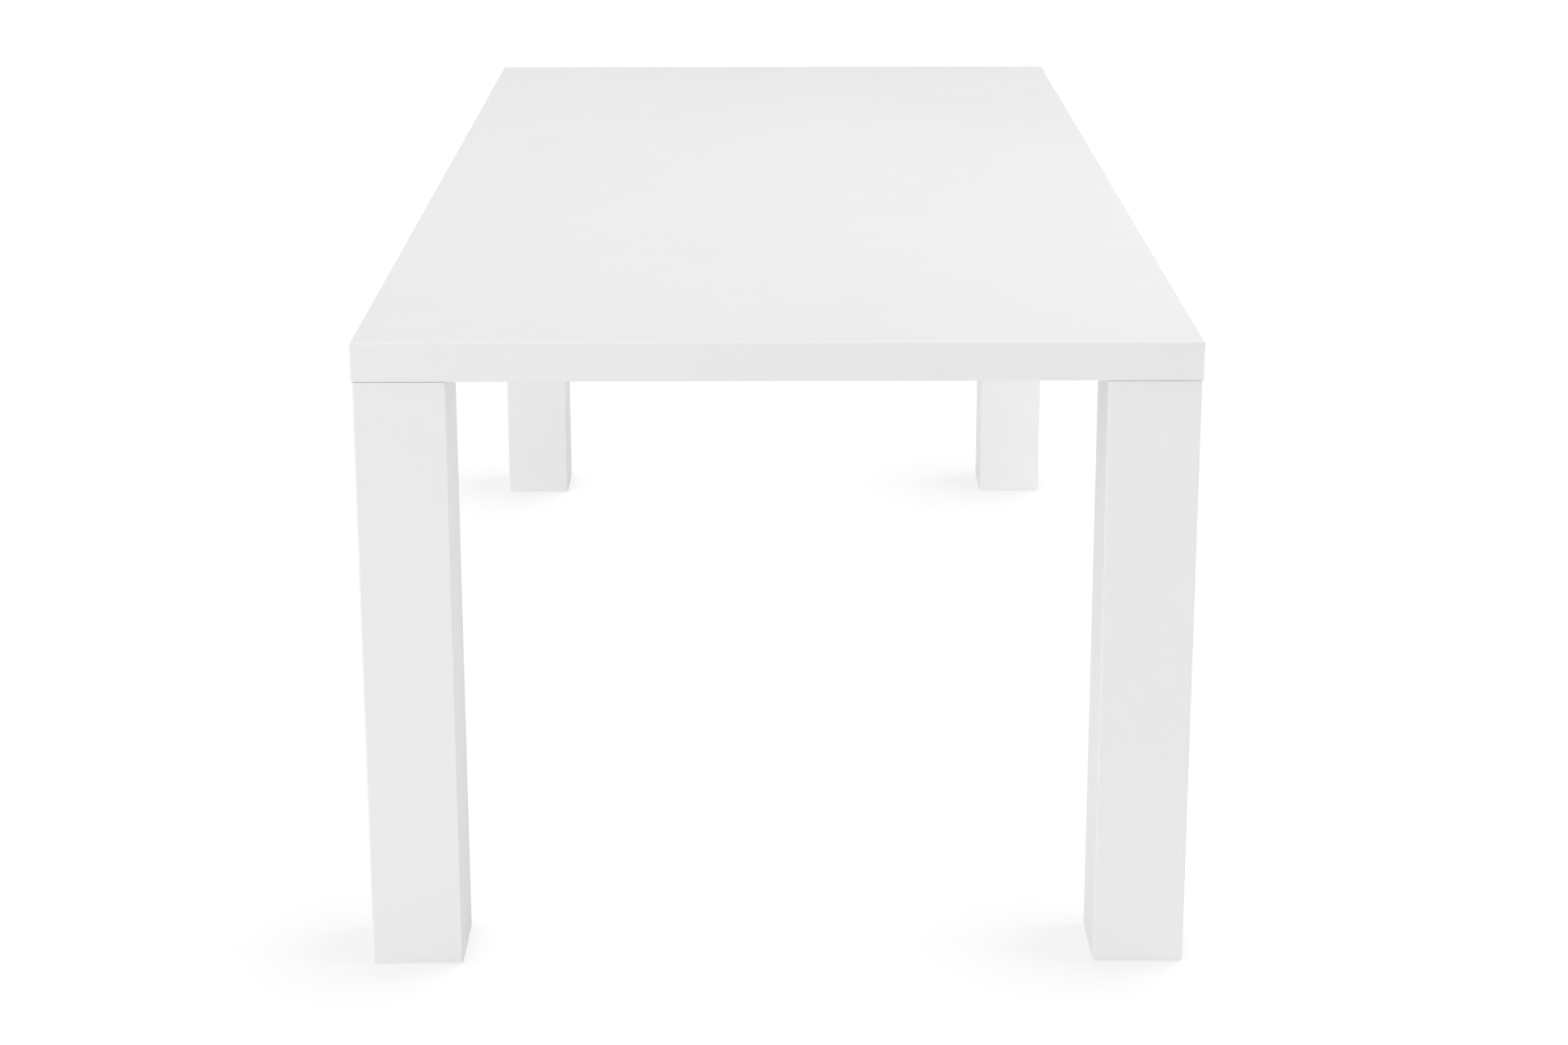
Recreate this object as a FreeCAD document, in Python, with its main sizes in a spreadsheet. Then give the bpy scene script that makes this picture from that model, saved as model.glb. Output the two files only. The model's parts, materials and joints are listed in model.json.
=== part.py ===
import FreeCAD, Part
import math
import os
import Sketcher
from types import SimpleNamespace
from FreeCAD import Placement, Rotation, Vector

# White dining table: a hollow-core lacquered top on four hollow square legs.
# The width runs along X, the length along Y and the height along Z. The origin is on the floor,
# under the middle of the top. Lengths are in millimetres.

SIZES = {
    # Whole table
    "table_length": 2000,
    "table_width": 950,
    "table_height": 750,
    "arris_radius": 2.5,
    # Hollow-core top: two skins on a frame of edge rails, with a grid of ribs and stringers between
    "top_thickness": 45,
    "upper_skin_thickness": 6,
    "lower_skin_thickness": 3.2,
    "lower_arris_chamfer": 0.5,
    "edge_rail_width": 40,
    "rib_thickness": 18,
    "rib_count": 5,
    "stringer_thickness": 18,
    "stringer_count": 2,
    "housing_depth": 8,
    "joint_clearance": 0.15,
    # Corner blocks of the core, which the leg plates are bolted to
    "corner_block_margin": 15,
    "corner_block_cut": 60,
    # Hollow legs of four mitred boards, with a block in the foot
    "leg_width": 105,
    "leg_inset": 1.5,
    "leg_board_thickness": 16,
    "leg_end_chamfer": 0.5,
    "foot_block_height": 50,
    "foot_block_clearance": 0.2,
    # Floor glides
    "glide_thickness": 2,
    "glide_margin": 15,
    "glide_corner_radius": 8,
    # Leg plates, let into the lower skin up to the core and proud of it by the gap over the leg,
    # with a flange that shows on the inner side of the leg, and the square box of flat strips
    # under each plate that fills the top of the leg
    "leg_gap": 0.8,
    "plate_margin": 8,
    "plate_flange_width": 68,
    "plate_corner_cut": 45,
    "plate_corner_clip": 6,
    "plate_clearance": 0.5,
    "spigot_height": 100,
    "spigot_wall": 3,
    "spigot_corner_clip": 2,
    "spigot_clearance": 0.2,
    # Hexagon bolts through the plates, and the square nuts let into the tops of the corner blocks
    "bolt_diameter": 8,
    "bolt_head_width": 13,
    "bolt_head_height": 5.3,
    "bolt_hole_diameter": 9,
    "bolt_overrun": 0.5,
    "bolt_setback": 35,
    "bolt_edge_distance": 30,
    "nut_width": 13,
    "nut_height": 6.5,
    "nut_pocket_depth": 12,
    "nut_clearance": 0.1,
}

QUARTER_TURN = 90
HEXAGON_SIDES = 6
# How a sketch counts its own origin and the points of a line or arc
ORIGIN_INDEX = -1
START_INDEX = 1
END_INDEX = 2
CENTRE_INDEX = 3
# How near two coordinates must be, in mm, to be taken as the same
TOUCH = 1e-4

# The name of each corner and its side in X and in Y, a quarter turn apart, from the front left corner on
CORNERS = (
    ("front_left", -1, -1),
    ("front_right", 1, -1),
    ("rear_right", 1, 1),
    ("rear_left", -1, 1),
)
# The faces of a leg, a quarter turn apart, from the front face on
LEG_FACES = ("front", "right", "rear", "left")


class Size:
    """A size with its value and the spreadsheet expression that gives it."""

    def __init__(self, value, text):
        self.value = value
        self.text = text

    def joined(self, other, value, sign):
        """The size that a sum or product with another size gives."""
        text = other.text if isinstance(other, Size) else str(other)
        return Size(value, f"({self.text} {sign} {text})")

    def __add__(self, other):
        return self.joined(other, self.value + number(other), "+")

    def __sub__(self, other):
        return self.joined(other, self.value - number(other), "-")

    def __mul__(self, other):
        return self.joined(other, self.value * number(other), "*")

    def __truediv__(self, other):
        return self.joined(other, self.value / number(other), "/")

    def __neg__(self):
        return self * -1


def number(size):
    """The plain value of a size or of a number."""
    return size.value if isinstance(size, Size) else size


ZERO = Size(0, "0")


def make_sheet(sizes):
    """Write the sizes to a spreadsheet and return them by name."""
    cells = doc.addObject("Spreadsheet::Sheet", "Sizes")
    for row, (alias, value) in enumerate(sizes.items(), start=1):
        cells.set(f"A{row}", alias)
        cells.set(f"B{row}", str(value))
        cells.setAlias(f"B{row}", alias)
    doc.recompute()
    return SimpleNamespace(**{alias: Size(cells.get(alias), f"Sizes.{alias}") for alias in sizes})


# Bodies and sketches

def new_body(label):
    """Start a body whose label is the name of its piece."""
    body = doc.addObject("PartDesign::Body", label)
    body.Label = label
    return body


def place(piece, x=ZERO, y=ZERO, z=ZERO, quarter_turns=0):
    """Put a piece in its place, turned round the upright axis."""
    piece.Placement = Placement(Vector(), Rotation(Vector(0, 0, 1), QUARTER_TURN * quarter_turns))
    for axis, size in (("x", x), ("y", y), ("z", z)):
        piece.setExpression(f"Placement.Base.{axis}", size.text)


def origin_feature(body, role):
    """The origin plane or axis of a body."""
    return next(feature for feature in body.Origin.OriginFeatures if feature.Role == role)


def new_sketch(body, name, lift=ZERO):
    """A flat sketch on the body's base plane, lifted off it where asked."""
    sketch = body.newObject("Sketcher::SketchObject", f"{body.Label}_{name}")
    sketch.AttachmentSupport = [(origin_feature(body, "XY_Plane"), "")]
    sketch.MapMode = "FlatFace"
    sketch.setExpression("AttachmentOffset.Base.z", lift.text)
    return sketch


def dimension(sketch, kind, *target, size):
    """Add a dimension to a sketch and bind it to its sheet."""
    index = sketch.addConstraint(Sketcher.Constraint(kind, *target, size.value))
    name = f"{kind}_{index}"
    sketch.renameConstraint(index, name)
    sketch.setExpression(f"Constraints.{name}", size.text)


def pin_point(sketch, geometry, point, x, y):
    """Dimension a point of a sketch from the sketch's origin."""
    for kind, size in (("DistanceX", x), ("DistanceY", y)):
        dimension(sketch, kind, ORIGIN_INDEX, START_INDEX, geometry, point, size=size)


def flat_point(x, y):
    """A sketch point from two sizes."""
    return Vector(x.value, y.value, 0)


def join_ends(sketch, geometry, following):
    """Make one line or arc start where another ends."""
    sketch.addConstraint(Sketcher.Constraint("Coincident", geometry, END_INDEX, following, START_INDEX))


def draw_polygon(sketch, corners):
    """Draw a closed outline of straight lines through dimensioned corners."""
    first = sketch.GeometryCount
    count = len(corners)
    for index, corner in enumerate(corners):
        following = corners[(index + 1) % count]
        sketch.addGeometry(Part.LineSegment(flat_point(*corner), flat_point(*following)))
    for index, corner in enumerate(corners):
        join_ends(sketch, first + index, first + (index + 1) % count)
        pin_point(sketch, first + index, START_INDEX, *corner)


def draw_rectangle(sketch, left, right, low, high):
    """Draw a rectangle between two sizes each way."""
    draw_polygon(sketch, ((left, low), (right, low), (right, high), (left, high)))


def draw_centred_rectangle(sketch, wide, deep):
    """Draw a rectangle round the sketch's origin."""
    draw_rectangle(sketch, -wide / 2, wide / 2, -deep / 2, deep / 2)


def draw_circle(sketch, x, y, diameter):
    """Draw a dimensioned circle."""
    index = sketch.addGeometry(Part.Circle(flat_point(x, y), Vector(0, 0, 1), diameter.value / 2))
    pin_point(sketch, index, CENTRE_INDEX, x, y)
    dimension(sketch, "Diameter", index, size=diameter)


# Features

def pad(body, sketch, length):
    """Raise a sketch into a solid."""
    feature = body.newObject("PartDesign::Pad", f"{sketch.Label}_pad")
    feature.Profile = sketch
    feature.setExpression("Length", length.text)
    doc.recompute()


def cut_up(body, sketch, depth=None):
    """Cut a sketch upwards into the solid, through all of it where no depth is given."""
    whole = body.Shape.Volume
    feature = body.newObject("PartDesign::Pocket", f"{sketch.Label}_cut")
    feature.Profile = sketch
    feature.Reversed = True
    if depth:
        feature.setExpression("Length", depth.text)
    else:
        feature.Type = "ThroughAll"
    doc.recompute()
    if not body.Shape.Volume < whole:
        raise RuntimeError(f"{feature.Label} cuts nothing from {body.Label}")
    return feature


def repeat(body, feature, axis, count, pitch):
    """Repeat a cut along one of the body's axes."""
    row = body.newObject("PartDesign::LinearPattern", f"{feature.Label}_row")
    row.Originals = [feature]
    row.Direction = (origin_feature(body, axis), [""])
    row.Mode = "Spacing"
    row.setExpression("Offset", pitch.text)
    row.setExpression("Occurrences", count.text)
    body.Tip = row
    doc.recompute()


def is_upright(box):
    """Whether the edge with this box stands upright."""
    return box.XLength < TOUCH and box.YLength < TOUCH


def lies_at(box, height):
    """Whether the edge with this box lies flat at a height."""
    return box.ZLength < TOUCH and abs(box.ZMin - height.value) < TOUCH


def dress_edges(body, kind, path, size, test):
    """Fillet or chamfer the edges of a body whose box passes a test."""
    base = body.Tip
    edges = enumerate(base.Shape.Edges, start=1)
    names = [f"Edge{index}" for index, edge in edges if test(edge.BoundBox)]
    feature = body.newObject(f"PartDesign::{kind}", f"{base.Label}_{kind.lower()}")
    feature.Base = (base, names)
    feature.setExpression(path, size.text)
    doc.recompute()


def fillet(body, radius, test):
    """Round the edges that pass a test."""
    dress_edges(body, "Fillet", "Radius", radius, test)


def chamfer(body, size, test):
    """Chamfer the edges that pass a test."""
    dress_edges(body, "Chamfer", "Size", size, test)


# Places in a corner, given as distances from the two edges of the top

def from_corner(side_x, side_y, across, along):
    """The place in the table's plan of a point given from the edges of one corner."""
    x = (sheet.table_width / 2 - across) * side_x
    y = (sheet.table_length / 2 - along) * side_y
    return x, y


def cut_square(low, high, cut):
    """The corners of a square in a table corner whose innermost corner is cut off."""
    return ((low, low), (high, low), (high, high - cut), (high - cut, high), (low, high))


def bolt_places():
    """The places of the bolts of one leg plate: one in each arm of its flange and one in their corner."""
    line = leg_inner_face + sheet.bolt_setback
    end = sheet.edge_rail_width + sheet.bolt_edge_distance
    return ((line, end), (line, line), (end, line))


def place_in_corner(piece, side_x, side_y, quarter_turns, z):
    """Put a piece that is drawn from the front left corner of the top into a corner."""
    x, y = from_corner(side_x, side_y, ZERO, ZERO)
    place(piece, x, y, z, quarter_turns)


def place_on_leg_axis(piece, side_x, side_y, z, quarter_turns=0):
    """Put a piece that is drawn round the axis of a leg onto a leg."""
    x, y = from_corner(side_x, side_y, leg_axis, leg_axis)
    place(piece, x, y, z, quarter_turns)


# Hollow-core top

def make_upper_skin():
    """The upper face of the top, with its eased arris."""
    body = new_body("upper_skin")
    outline = new_sketch(body, "outline")
    draw_centred_rectangle(outline, sheet.table_width, sheet.table_length)
    pad(body, outline, sheet.upper_skin_thickness)
    fillet(body, sheet.arris_radius, lambda box: is_upright(box) or lies_at(box, sheet.upper_skin_thickness))
    place(body, z=core_top)
    return body


def make_lower_skin():
    """The underside of the top, cut out for the leg plates."""
    body = new_body("lower_skin")
    outline = new_sketch(body, "outline")
    draw_centred_rectangle(outline, sheet.table_width, sheet.table_length)
    pad(body, outline, sheet.lower_skin_thickness)
    fillet(body, sheet.arris_radius, is_upright)
    chamfer(body, sheet.lower_arris_chamfer, lambda box: lies_at(box, ZERO))
    openings = new_sketch(body, "plate_openings")
    opening = cut_square(plate_outer - sheet.plate_clearance, plate_inner + sheet.plate_clearance,
                         sheet.plate_corner_cut)
    for _, side_x, side_y in CORNERS:
        draw_polygon(openings, [from_corner(side_x, side_y, *corner) for corner in opening])
    cut_up(body, openings)
    place(body, z=underside)
    return body


def make_long_edge_rail(label, quarter_turns):
    """A long edge of the top: its lower half runs through at the corners and it houses the ribs."""
    body = new_body(label)
    outer = -sheet.table_width / 2
    inner = outer + sheet.edge_rail_width
    end = sheet.table_length / 2
    outline = new_sketch(body, "outline")
    draw_rectangle(outline, outer, inner, -end, end)
    pad(body, outline, core_height)
    fillet(body, sheet.arris_radius, lambda box: is_upright(box) and box.XMin < outer.value + TOUCH)
    laps = new_sketch(body, "corner_laps", lift=core_height / 2)
    draw_rectangle(laps, outer, inner, -end, sheet.edge_rail_width - end)
    draw_rectangle(laps, outer, inner, end - sheet.edge_rail_width, end)
    cut_up(body, laps)
    housing = new_sketch(body, "rib_housing")
    half_slot = sheet.rib_thickness / 2 + sheet.joint_clearance
    draw_rectangle(housing, inner - sheet.housing_depth, inner, first_rib - half_slot, first_rib + half_slot)
    repeat(body, cut_up(body, housing), "Y_Axis", sheet.rib_count, rib_pitch)
    place(body, z=core_bottom, quarter_turns=quarter_turns)
    return body


def make_short_edge_rail(label, quarter_turns):
    """A short edge of the top: its upper half runs through at the corners and it houses the stringers."""
    body = new_body(label)
    outer = -sheet.table_length / 2
    inner = outer + sheet.edge_rail_width
    end = sheet.table_width / 2
    outline = new_sketch(body, "outline")
    draw_rectangle(outline, -end, end, outer, inner)
    pad(body, outline, core_height)
    fillet(body, sheet.arris_radius, lambda box: is_upright(box) and box.YMin < outer.value + TOUCH)
    laps = new_sketch(body, "corner_laps")
    draw_rectangle(laps, -end, sheet.edge_rail_width - end, outer, inner)
    draw_rectangle(laps, end - sheet.edge_rail_width, end, outer, inner)
    cut_up(body, laps, core_height / 2)
    housing = new_sketch(body, "stringer_housing")
    half_slot = sheet.stringer_thickness / 2 + sheet.joint_clearance
    draw_rectangle(housing, first_stringer - half_slot, first_stringer + half_slot,
                   inner - sheet.housing_depth, inner)
    repeat(body, cut_up(body, housing), "X_Axis", sheet.stringer_count, stringer_pitch)
    place(body, z=core_bottom, quarter_turns=quarter_turns)
    return body


def make_cross_rib(index):
    """A cross piece of the core, notched from above for the stringers."""
    body = new_body(f"cross_rib_{index + 1}")
    outline = new_sketch(body, "outline")
    length = core_width + (sheet.housing_depth - sheet.joint_clearance) * 2
    draw_centred_rectangle(outline, length, sheet.rib_thickness)
    pad(body, outline, core_height)
    notch = new_sketch(body, "notch", lift=core_height / 2)
    half_slot = sheet.stringer_thickness / 2 + sheet.joint_clearance
    draw_rectangle(notch, first_stringer - half_slot, first_stringer + half_slot,
                   -sheet.rib_thickness / 2, sheet.rib_thickness / 2)
    repeat(body, cut_up(body, notch), "X_Axis", sheet.stringer_count, stringer_pitch)
    place(body, y=first_rib + rib_pitch * index, z=core_bottom)
    return body


def make_stringer(index):
    """A long piece of the core, notched from below for the ribs."""
    body = new_body(f"stringer_{index + 1}")
    outline = new_sketch(body, "outline")
    length = core_length + (sheet.housing_depth - sheet.joint_clearance) * 2
    draw_centred_rectangle(outline, sheet.stringer_thickness, length)
    pad(body, outline, core_height)
    notch = new_sketch(body, "notch")
    half_slot = sheet.rib_thickness / 2 + sheet.joint_clearance
    draw_rectangle(notch, -sheet.stringer_thickness / 2, sheet.stringer_thickness / 2,
                   first_rib - half_slot, first_rib + half_slot)
    repeat(body, cut_up(body, notch, core_height / 2), "Y_Axis", sheet.rib_count, rib_pitch)
    place(body, x=first_stringer + stringer_pitch * index, z=core_bottom)
    return body


def make_corner_block(corner, side_x, side_y, quarter_turns):
    """A solid block in a corner of the core, bored for the bolts, with a pocket for each nut in its top."""
    body = new_body(f"{corner}_corner_block")
    outline = new_sketch(body, "outline")
    draw_polygon(outline, cut_square(sheet.edge_rail_width, plate_inner + sheet.corner_block_margin,
                                     sheet.corner_block_cut))
    pad(body, outline, core_height)
    bores = new_sketch(body, "bolt_bores")
    pockets = new_sketch(body, "nut_pockets", lift=core_height - sheet.nut_pocket_depth)
    half = sheet.nut_width / 2 + sheet.nut_clearance
    for across, along in bolt_places():
        draw_circle(bores, across, along, sheet.bolt_hole_diameter)
        draw_rectangle(pockets, across - half, across + half, along - half, along + half)
    cut_up(body, bores)
    cut_up(body, pockets)
    place_in_corner(body, side_x, side_y, quarter_turns, core_bottom)
    return body


# Legs

def draw_board_section(sketch):
    """Draw the section of a mitred leg board, with half of each rounded arris of the leg."""
    half = sheet.leg_width / 2
    turn = half - sheet.arris_radius
    inner = half - sheet.leg_board_thickness
    arris = Part.Circle(flat_point(turn, -turn), Vector(0, 0, 1), sheet.arris_radius.value)
    other_arris = Part.Circle(flat_point(-turn, -turn), Vector(0, 0, 1), sheet.arris_radius.value)
    right_arc = Part.ArcOfCircle(arris, -math.pi / 2, -math.pi / 4)
    left_arc = Part.ArcOfCircle(other_arris, -math.pi * 3 / 4, -math.pi / 2)
    inner_right = flat_point(inner, -inner)
    inner_left = flat_point(-inner, -inner)
    face, right, right_mitre, back, left_mitre, left = sketch.addGeometry([
        Part.LineSegment(flat_point(-turn, -half), flat_point(turn, -half)),
        right_arc,
        Part.LineSegment(right_arc.EndPoint, inner_right),
        Part.LineSegment(inner_right, inner_left),
        Part.LineSegment(inner_left, left_arc.StartPoint),
        left_arc,
    ])
    sketch.addConstraint(Sketcher.Constraint("Tangent", face, END_INDEX, right, START_INDEX))
    sketch.addConstraint(Sketcher.Constraint("Tangent", left, END_INDEX, face, START_INDEX))
    join_ends(sketch, right, right_mitre)
    join_ends(sketch, right_mitre, back)
    join_ends(sketch, back, left_mitre)
    join_ends(sketch, left_mitre, left)
    pin_point(sketch, right, CENTRE_INDEX, turn, -turn)
    pin_point(sketch, left, CENTRE_INDEX, -turn, -turn)
    dimension(sketch, "Radius", right, size=sheet.arris_radius)
    sketch.addConstraint(Sketcher.Constraint("Equal", right, left))
    sketch.addConstraint(Sketcher.Constraint("PointOnObject", right, CENTRE_INDEX, right_mitre))
    sketch.addConstraint(Sketcher.Constraint("PointOnObject", left, CENTRE_INDEX, left_mitre))
    pin_point(sketch, back, START_INDEX, inner, -inner)
    pin_point(sketch, back, END_INDEX, -inner, -inner)


def make_leg_board(corner, side_x, side_y, face, quarter_turns):
    """One of the four mitred boards of a leg, with the outer edges of its ends eased."""
    body = new_body(f"{corner}_leg_{face}_board")
    section = new_sketch(body, "section")
    draw_board_section(section)
    pad(body, section, leg_height)
    eased = -(sheet.leg_width / 2 - sheet.arris_radius)

    def is_outer_end(box):
        return (lies_at(box, ZERO) or lies_at(box, leg_height)) and box.YMax < eased.value

    chamfer(body, sheet.leg_end_chamfer, is_outer_end)
    place_on_leg_axis(body, side_x, side_y, leg_bottom, quarter_turns)
    return body


def make_foot_block(corner, side_x, side_y):
    """The block in the foot of a leg, which carries its glide."""
    body = new_body(f"{corner}_foot_block")
    width = leg_hollow - sheet.foot_block_clearance * 2
    outline = new_sketch(body, "outline")
    draw_centred_rectangle(outline, width, width)
    pad(body, outline, sheet.foot_block_height)
    place_on_leg_axis(body, side_x, side_y, leg_bottom)
    return body


def make_glide(corner, side_x, side_y):
    """The pad under a leg, with rounded corners."""
    body = new_body(f"{corner}_glide")
    width = sheet.leg_width - sheet.glide_margin * 2
    outline = new_sketch(body, "outline")
    draw_centred_rectangle(outline, width, width)
    pad(body, outline, sheet.glide_thickness)
    fillet(body, sheet.glide_corner_radius, is_upright)
    place_on_leg_axis(body, side_x, side_y, ZERO)
    return body


def make_leg_plate(corner, side_x, side_y, quarter_turns):
    """The steel plate between a leg and the top, with bolt holes in its flange."""
    body = new_body(f"{corner}_leg_plate")
    outline = new_sketch(body, "outline")
    draw_polygon(outline, cut_square(plate_outer, plate_inner, sheet.plate_corner_cut))
    pad(body, outline, plate_thickness)
    chamfer(body, sheet.plate_corner_clip, is_upright)
    bolt_holes = new_sketch(body, "bolt_holes")
    for bolt in bolt_places():
        draw_circle(bolt_holes, *bolt, sheet.bolt_hole_diameter)
    cut_up(body, bolt_holes)
    place_in_corner(body, side_x, side_y, quarter_turns, leg_top)
    return body


def make_spigot(corner, side_x, side_y):
    """The square box of strips welded under a leg plate, which fills the top of the hollow leg."""
    body = new_body(f"{corner}_leg_spigot")
    width = leg_hollow - sheet.spigot_clearance * 2
    bore_width = width - sheet.spigot_wall * 2
    outline = new_sketch(body, "outline")
    draw_centred_rectangle(outline, width, width)
    pad(body, outline, sheet.spigot_height)
    chamfer(body, sheet.spigot_corner_clip, is_upright)
    bore = new_sketch(body, "bore")
    draw_centred_rectangle(bore, bore_width, bore_width)
    cut_up(body, bore)
    place_on_leg_axis(body, side_x, side_y, leg_top - sheet.spigot_height)
    return body


# Fasteners, drawn once with their seat at the origin

def make_bolt():
    """A hexagon bolt that points up."""
    body = new_body("leg_bolt")
    head = new_sketch(body, "head", lift=-sheet.bolt_head_height)
    corner_radius = sheet.bolt_head_width / (2 * math.cos(math.pi / HEXAGON_SIDES))
    turns = [2 * math.pi * side / HEXAGON_SIDES for side in range(HEXAGON_SIDES)]
    draw_polygon(head, [(corner_radius * math.cos(turn), corner_radius * math.sin(turn)) for turn in turns])
    pad(body, head, sheet.bolt_head_height)
    shank = new_sketch(body, "shank")
    draw_circle(shank, ZERO, ZERO, sheet.bolt_diameter)
    pad(body, shank, nut_seat + sheet.nut_height + sheet.bolt_overrun - leg_top)
    return body


def make_nut():
    """A square nut."""
    body = new_body("captive_nut")
    outline = new_sketch(body, "outline")
    draw_centred_rectangle(outline, sheet.nut_width, sheet.nut_width)
    draw_circle(outline, ZERO, ZERO, sheet.bolt_diameter + sheet.nut_clearance * 2)
    pad(body, outline, sheet.nut_height)
    return body


def make_group(label, fastener, height):
    """One node with a copy of a fastener at every bolt of every corner."""
    copies = []
    for corner, side_x, side_y in CORNERS:
        for index, bolt in enumerate(bolt_places(), start=1):
            copy = doc.addObject("App::Link", f"{label}_{corner}_{index}")
            copy.LinkedObject = fastener
            place(copy, *from_corner(side_x, side_y, *bolt), height)
            copies.append(copy)
    group = doc.addObject("Part::Compound", label)
    group.Label = label
    group.Links = copies
    return group


# The whole table

def make_top():
    """The pieces of the hollow-core top."""
    pieces = [make_upper_skin(), make_lower_skin()]
    pieces += [make_long_edge_rail("left_edge_rail", 0), make_long_edge_rail("right_edge_rail", 2)]
    pieces += [make_short_edge_rail("front_edge_rail", 0), make_short_edge_rail("rear_edge_rail", 2)]
    pieces += [make_cross_rib(index) for index in range(int(sheet.rib_count.value))]
    pieces += [make_stringer(index) for index in range(int(sheet.stringer_count.value))]
    pieces += [make_corner_block(*corner, turns) for turns, corner in enumerate(CORNERS)]
    return pieces


def make_legs():
    """The pieces of the four legs, with their plates and glides."""
    pieces = []
    for turns, corner in enumerate(CORNERS):
        for board_turns, face in enumerate(LEG_FACES):
            pieces.append(make_leg_board(*corner, face, board_turns))
        pieces.append(make_leg_plate(*corner, turns))
        pieces.append(make_spigot(*corner))
        pieces.append(make_foot_block(*corner))
        pieces.append(make_glide(*corner))
    return pieces


def make_fasteners():
    """The bolts and nuts that hold the legs to the top."""
    return [make_group("leg_bolts", make_bolt(), leg_top), make_group("captive_nuts", make_nut(), nut_seat)]


def check_document(pieces):
    """Stop where anything failed, or where a piece is empty or not sound."""
    failed = [item.Label for item in doc.Objects if {"Invalid", "Error"} & set(item.State)]
    unsound = [piece.Label for piece in pieces if piece.Shape.isNull() or not piece.Shape.isValid()]
    if failed or unsound:
        raise RuntimeError(f"failed: {failed}, not sound: {unsound}")


def write_parts(pieces):
    """Write each piece to a file of its own name."""
    os.makedirs("parts", exist_ok=True)
    for piece in pieces:
        piece.Shape.exportStep(f"parts/{piece.Label}.step")


doc = FreeCAD.newDocument("DiningTable")
sheet = make_sheet(SIZES)

# Heights
underside = sheet.table_height - sheet.top_thickness
core_bottom = underside + sheet.lower_skin_thickness
core_top = sheet.table_height - sheet.upper_skin_thickness
core_height = core_top - core_bottom
leg_top = underside - sheet.leg_gap
plate_thickness = core_bottom - leg_top
leg_bottom = sheet.glide_thickness
leg_height = leg_top - leg_bottom
nut_seat = core_top - sheet.nut_pocket_depth

# Places in the plan
core_width = sheet.table_width - sheet.edge_rail_width * 2
core_length = sheet.table_length - sheet.edge_rail_width * 2
rib_pitch = core_length / (sheet.rib_count + 1)
first_rib = rib_pitch * (sheet.rib_count - 1) / -2
stringer_pitch = core_width / (sheet.stringer_count + 1)
first_stringer = stringer_pitch * (sheet.stringer_count - 1) / -2
leg_axis = sheet.leg_inset + sheet.leg_width / 2
leg_inner_face = sheet.leg_inset + sheet.leg_width
leg_hollow = sheet.leg_width - sheet.leg_board_thickness * 2
plate_outer = sheet.leg_inset + sheet.plate_margin
plate_inner = leg_inner_face + sheet.plate_flange_width

pieces = make_top() + make_legs() + make_fasteners()
doc.recompute()
check_document(pieces)
write_parts(pieces)
print(f"{len(pieces)} pieces written")
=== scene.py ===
import json
import logging
import math
from abc import ABC, abstractmethod
from collections.abc import Callable, Iterable, Sequence
from dataclasses import dataclass, field
from enum import Enum
from functools import cache

import bmesh
import bpy
from bmesh.types import BMEdge, BMesh, BMFace, BMVert
from mathutils import Matrix, Vector


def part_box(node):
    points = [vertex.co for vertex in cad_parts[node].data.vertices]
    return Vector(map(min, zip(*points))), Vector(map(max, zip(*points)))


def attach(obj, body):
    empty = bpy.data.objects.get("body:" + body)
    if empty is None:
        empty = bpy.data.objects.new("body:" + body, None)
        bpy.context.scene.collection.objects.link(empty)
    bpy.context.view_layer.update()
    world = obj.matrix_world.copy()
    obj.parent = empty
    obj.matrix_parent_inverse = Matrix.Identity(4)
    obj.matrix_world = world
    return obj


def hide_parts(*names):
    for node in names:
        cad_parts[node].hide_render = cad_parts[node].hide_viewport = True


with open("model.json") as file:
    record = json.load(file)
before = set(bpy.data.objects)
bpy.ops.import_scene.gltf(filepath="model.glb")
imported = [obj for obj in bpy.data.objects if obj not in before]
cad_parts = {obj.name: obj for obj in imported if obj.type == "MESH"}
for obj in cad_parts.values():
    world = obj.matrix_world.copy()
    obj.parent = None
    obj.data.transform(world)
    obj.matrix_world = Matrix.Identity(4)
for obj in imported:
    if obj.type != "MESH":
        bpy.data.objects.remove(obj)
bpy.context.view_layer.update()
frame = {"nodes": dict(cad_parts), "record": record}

# White dining table: a lacquered hollow-core top on four hollow square legs. Lengths are in metres.
# The width runs along X, the length along Y and the height along Z.

log = logging.getLogger("dining_table")

Colour = tuple[float, float, float]
Point = tuple[float, float, float]
Socket = bpy.types.NodeSocket

BODY = "root"
IMAGE_WIDTH = 1920
SENSOR_WIDTH = 36.0
WHITE: Colour = (1.0, 1.0, 1.0)

# Meshes: the mark of the rounded faces, the angle of a sharp edge, and the reach of what touches
ARRIS_LAYER = "arris"
MASK_LEVEL = 0.5
SHARP_ANGLE = math.radians(40)
TOUCH = 1e-6
UNIT_HALF = 0.5

# Faces across a rounded form
ARRIS_STEPS = 6
FINE_STEPS = 3
PAD_CORNER_STEPS = 8
SMALL_STEPS = 2
HEX_SIDES = 6

# Octaves, relative sizes and shares of the surface patterns
CLOUD_DETAIL = 3.0
RUB_DETAIL = 4.0
RUBS_PER_CLOUD = 6.0
PEEL_DETAIL = 1.5
SMEAR_DETAIL = 5.0
PIT_DETAIL = 2.0
PITS_PER_CRYSTAL = 9.0
CRYSTAL_SHARE = 0.5
STREAK_DETAIL = 6.0
FIBRE_DETAIL = 3.0
STREAK_SHARE = 0.65
FIBRE_SHARE = 0.35


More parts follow.
